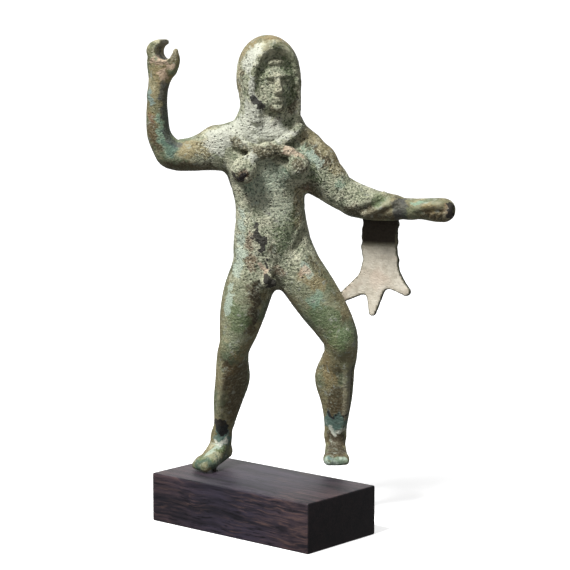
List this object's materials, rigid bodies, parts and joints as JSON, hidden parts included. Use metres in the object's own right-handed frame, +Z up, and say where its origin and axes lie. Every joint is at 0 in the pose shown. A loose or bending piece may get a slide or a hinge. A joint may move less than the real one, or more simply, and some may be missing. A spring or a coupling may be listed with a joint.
{
  "type": "votive bronze figure on a display block",
  "caption": "Small striding bronze figure in a lion's skin, one arm raised and one held out, pinned by a foot to a wooden display block.",
  "frame": {"origin": "centre of the underside of the wooden block, on the surface that it stands on", "axes": "+Z up; the figure faces -Y, its raised right arm is towards -X and its outstretched left arm towards +X; the block is turned 40.7 degrees clockwise about Z, seen from above, so that the figure faces across it towards a corner"},
  "size_m": [0.0732, 0.0516, 0.1187],
  "materials": {
    "bronze": "corroded bronze with a green, grey and brown patina",
    "stained_wood": "dark stained hardwood with a thin satin varnish",
    "dark_steel": "darkened steel pin"
  },
  "bodies": {
    "root": {"figure": "bronze", "block": "stained_wood", "pin": "dark_steel"}
  },
  "joints": []
}
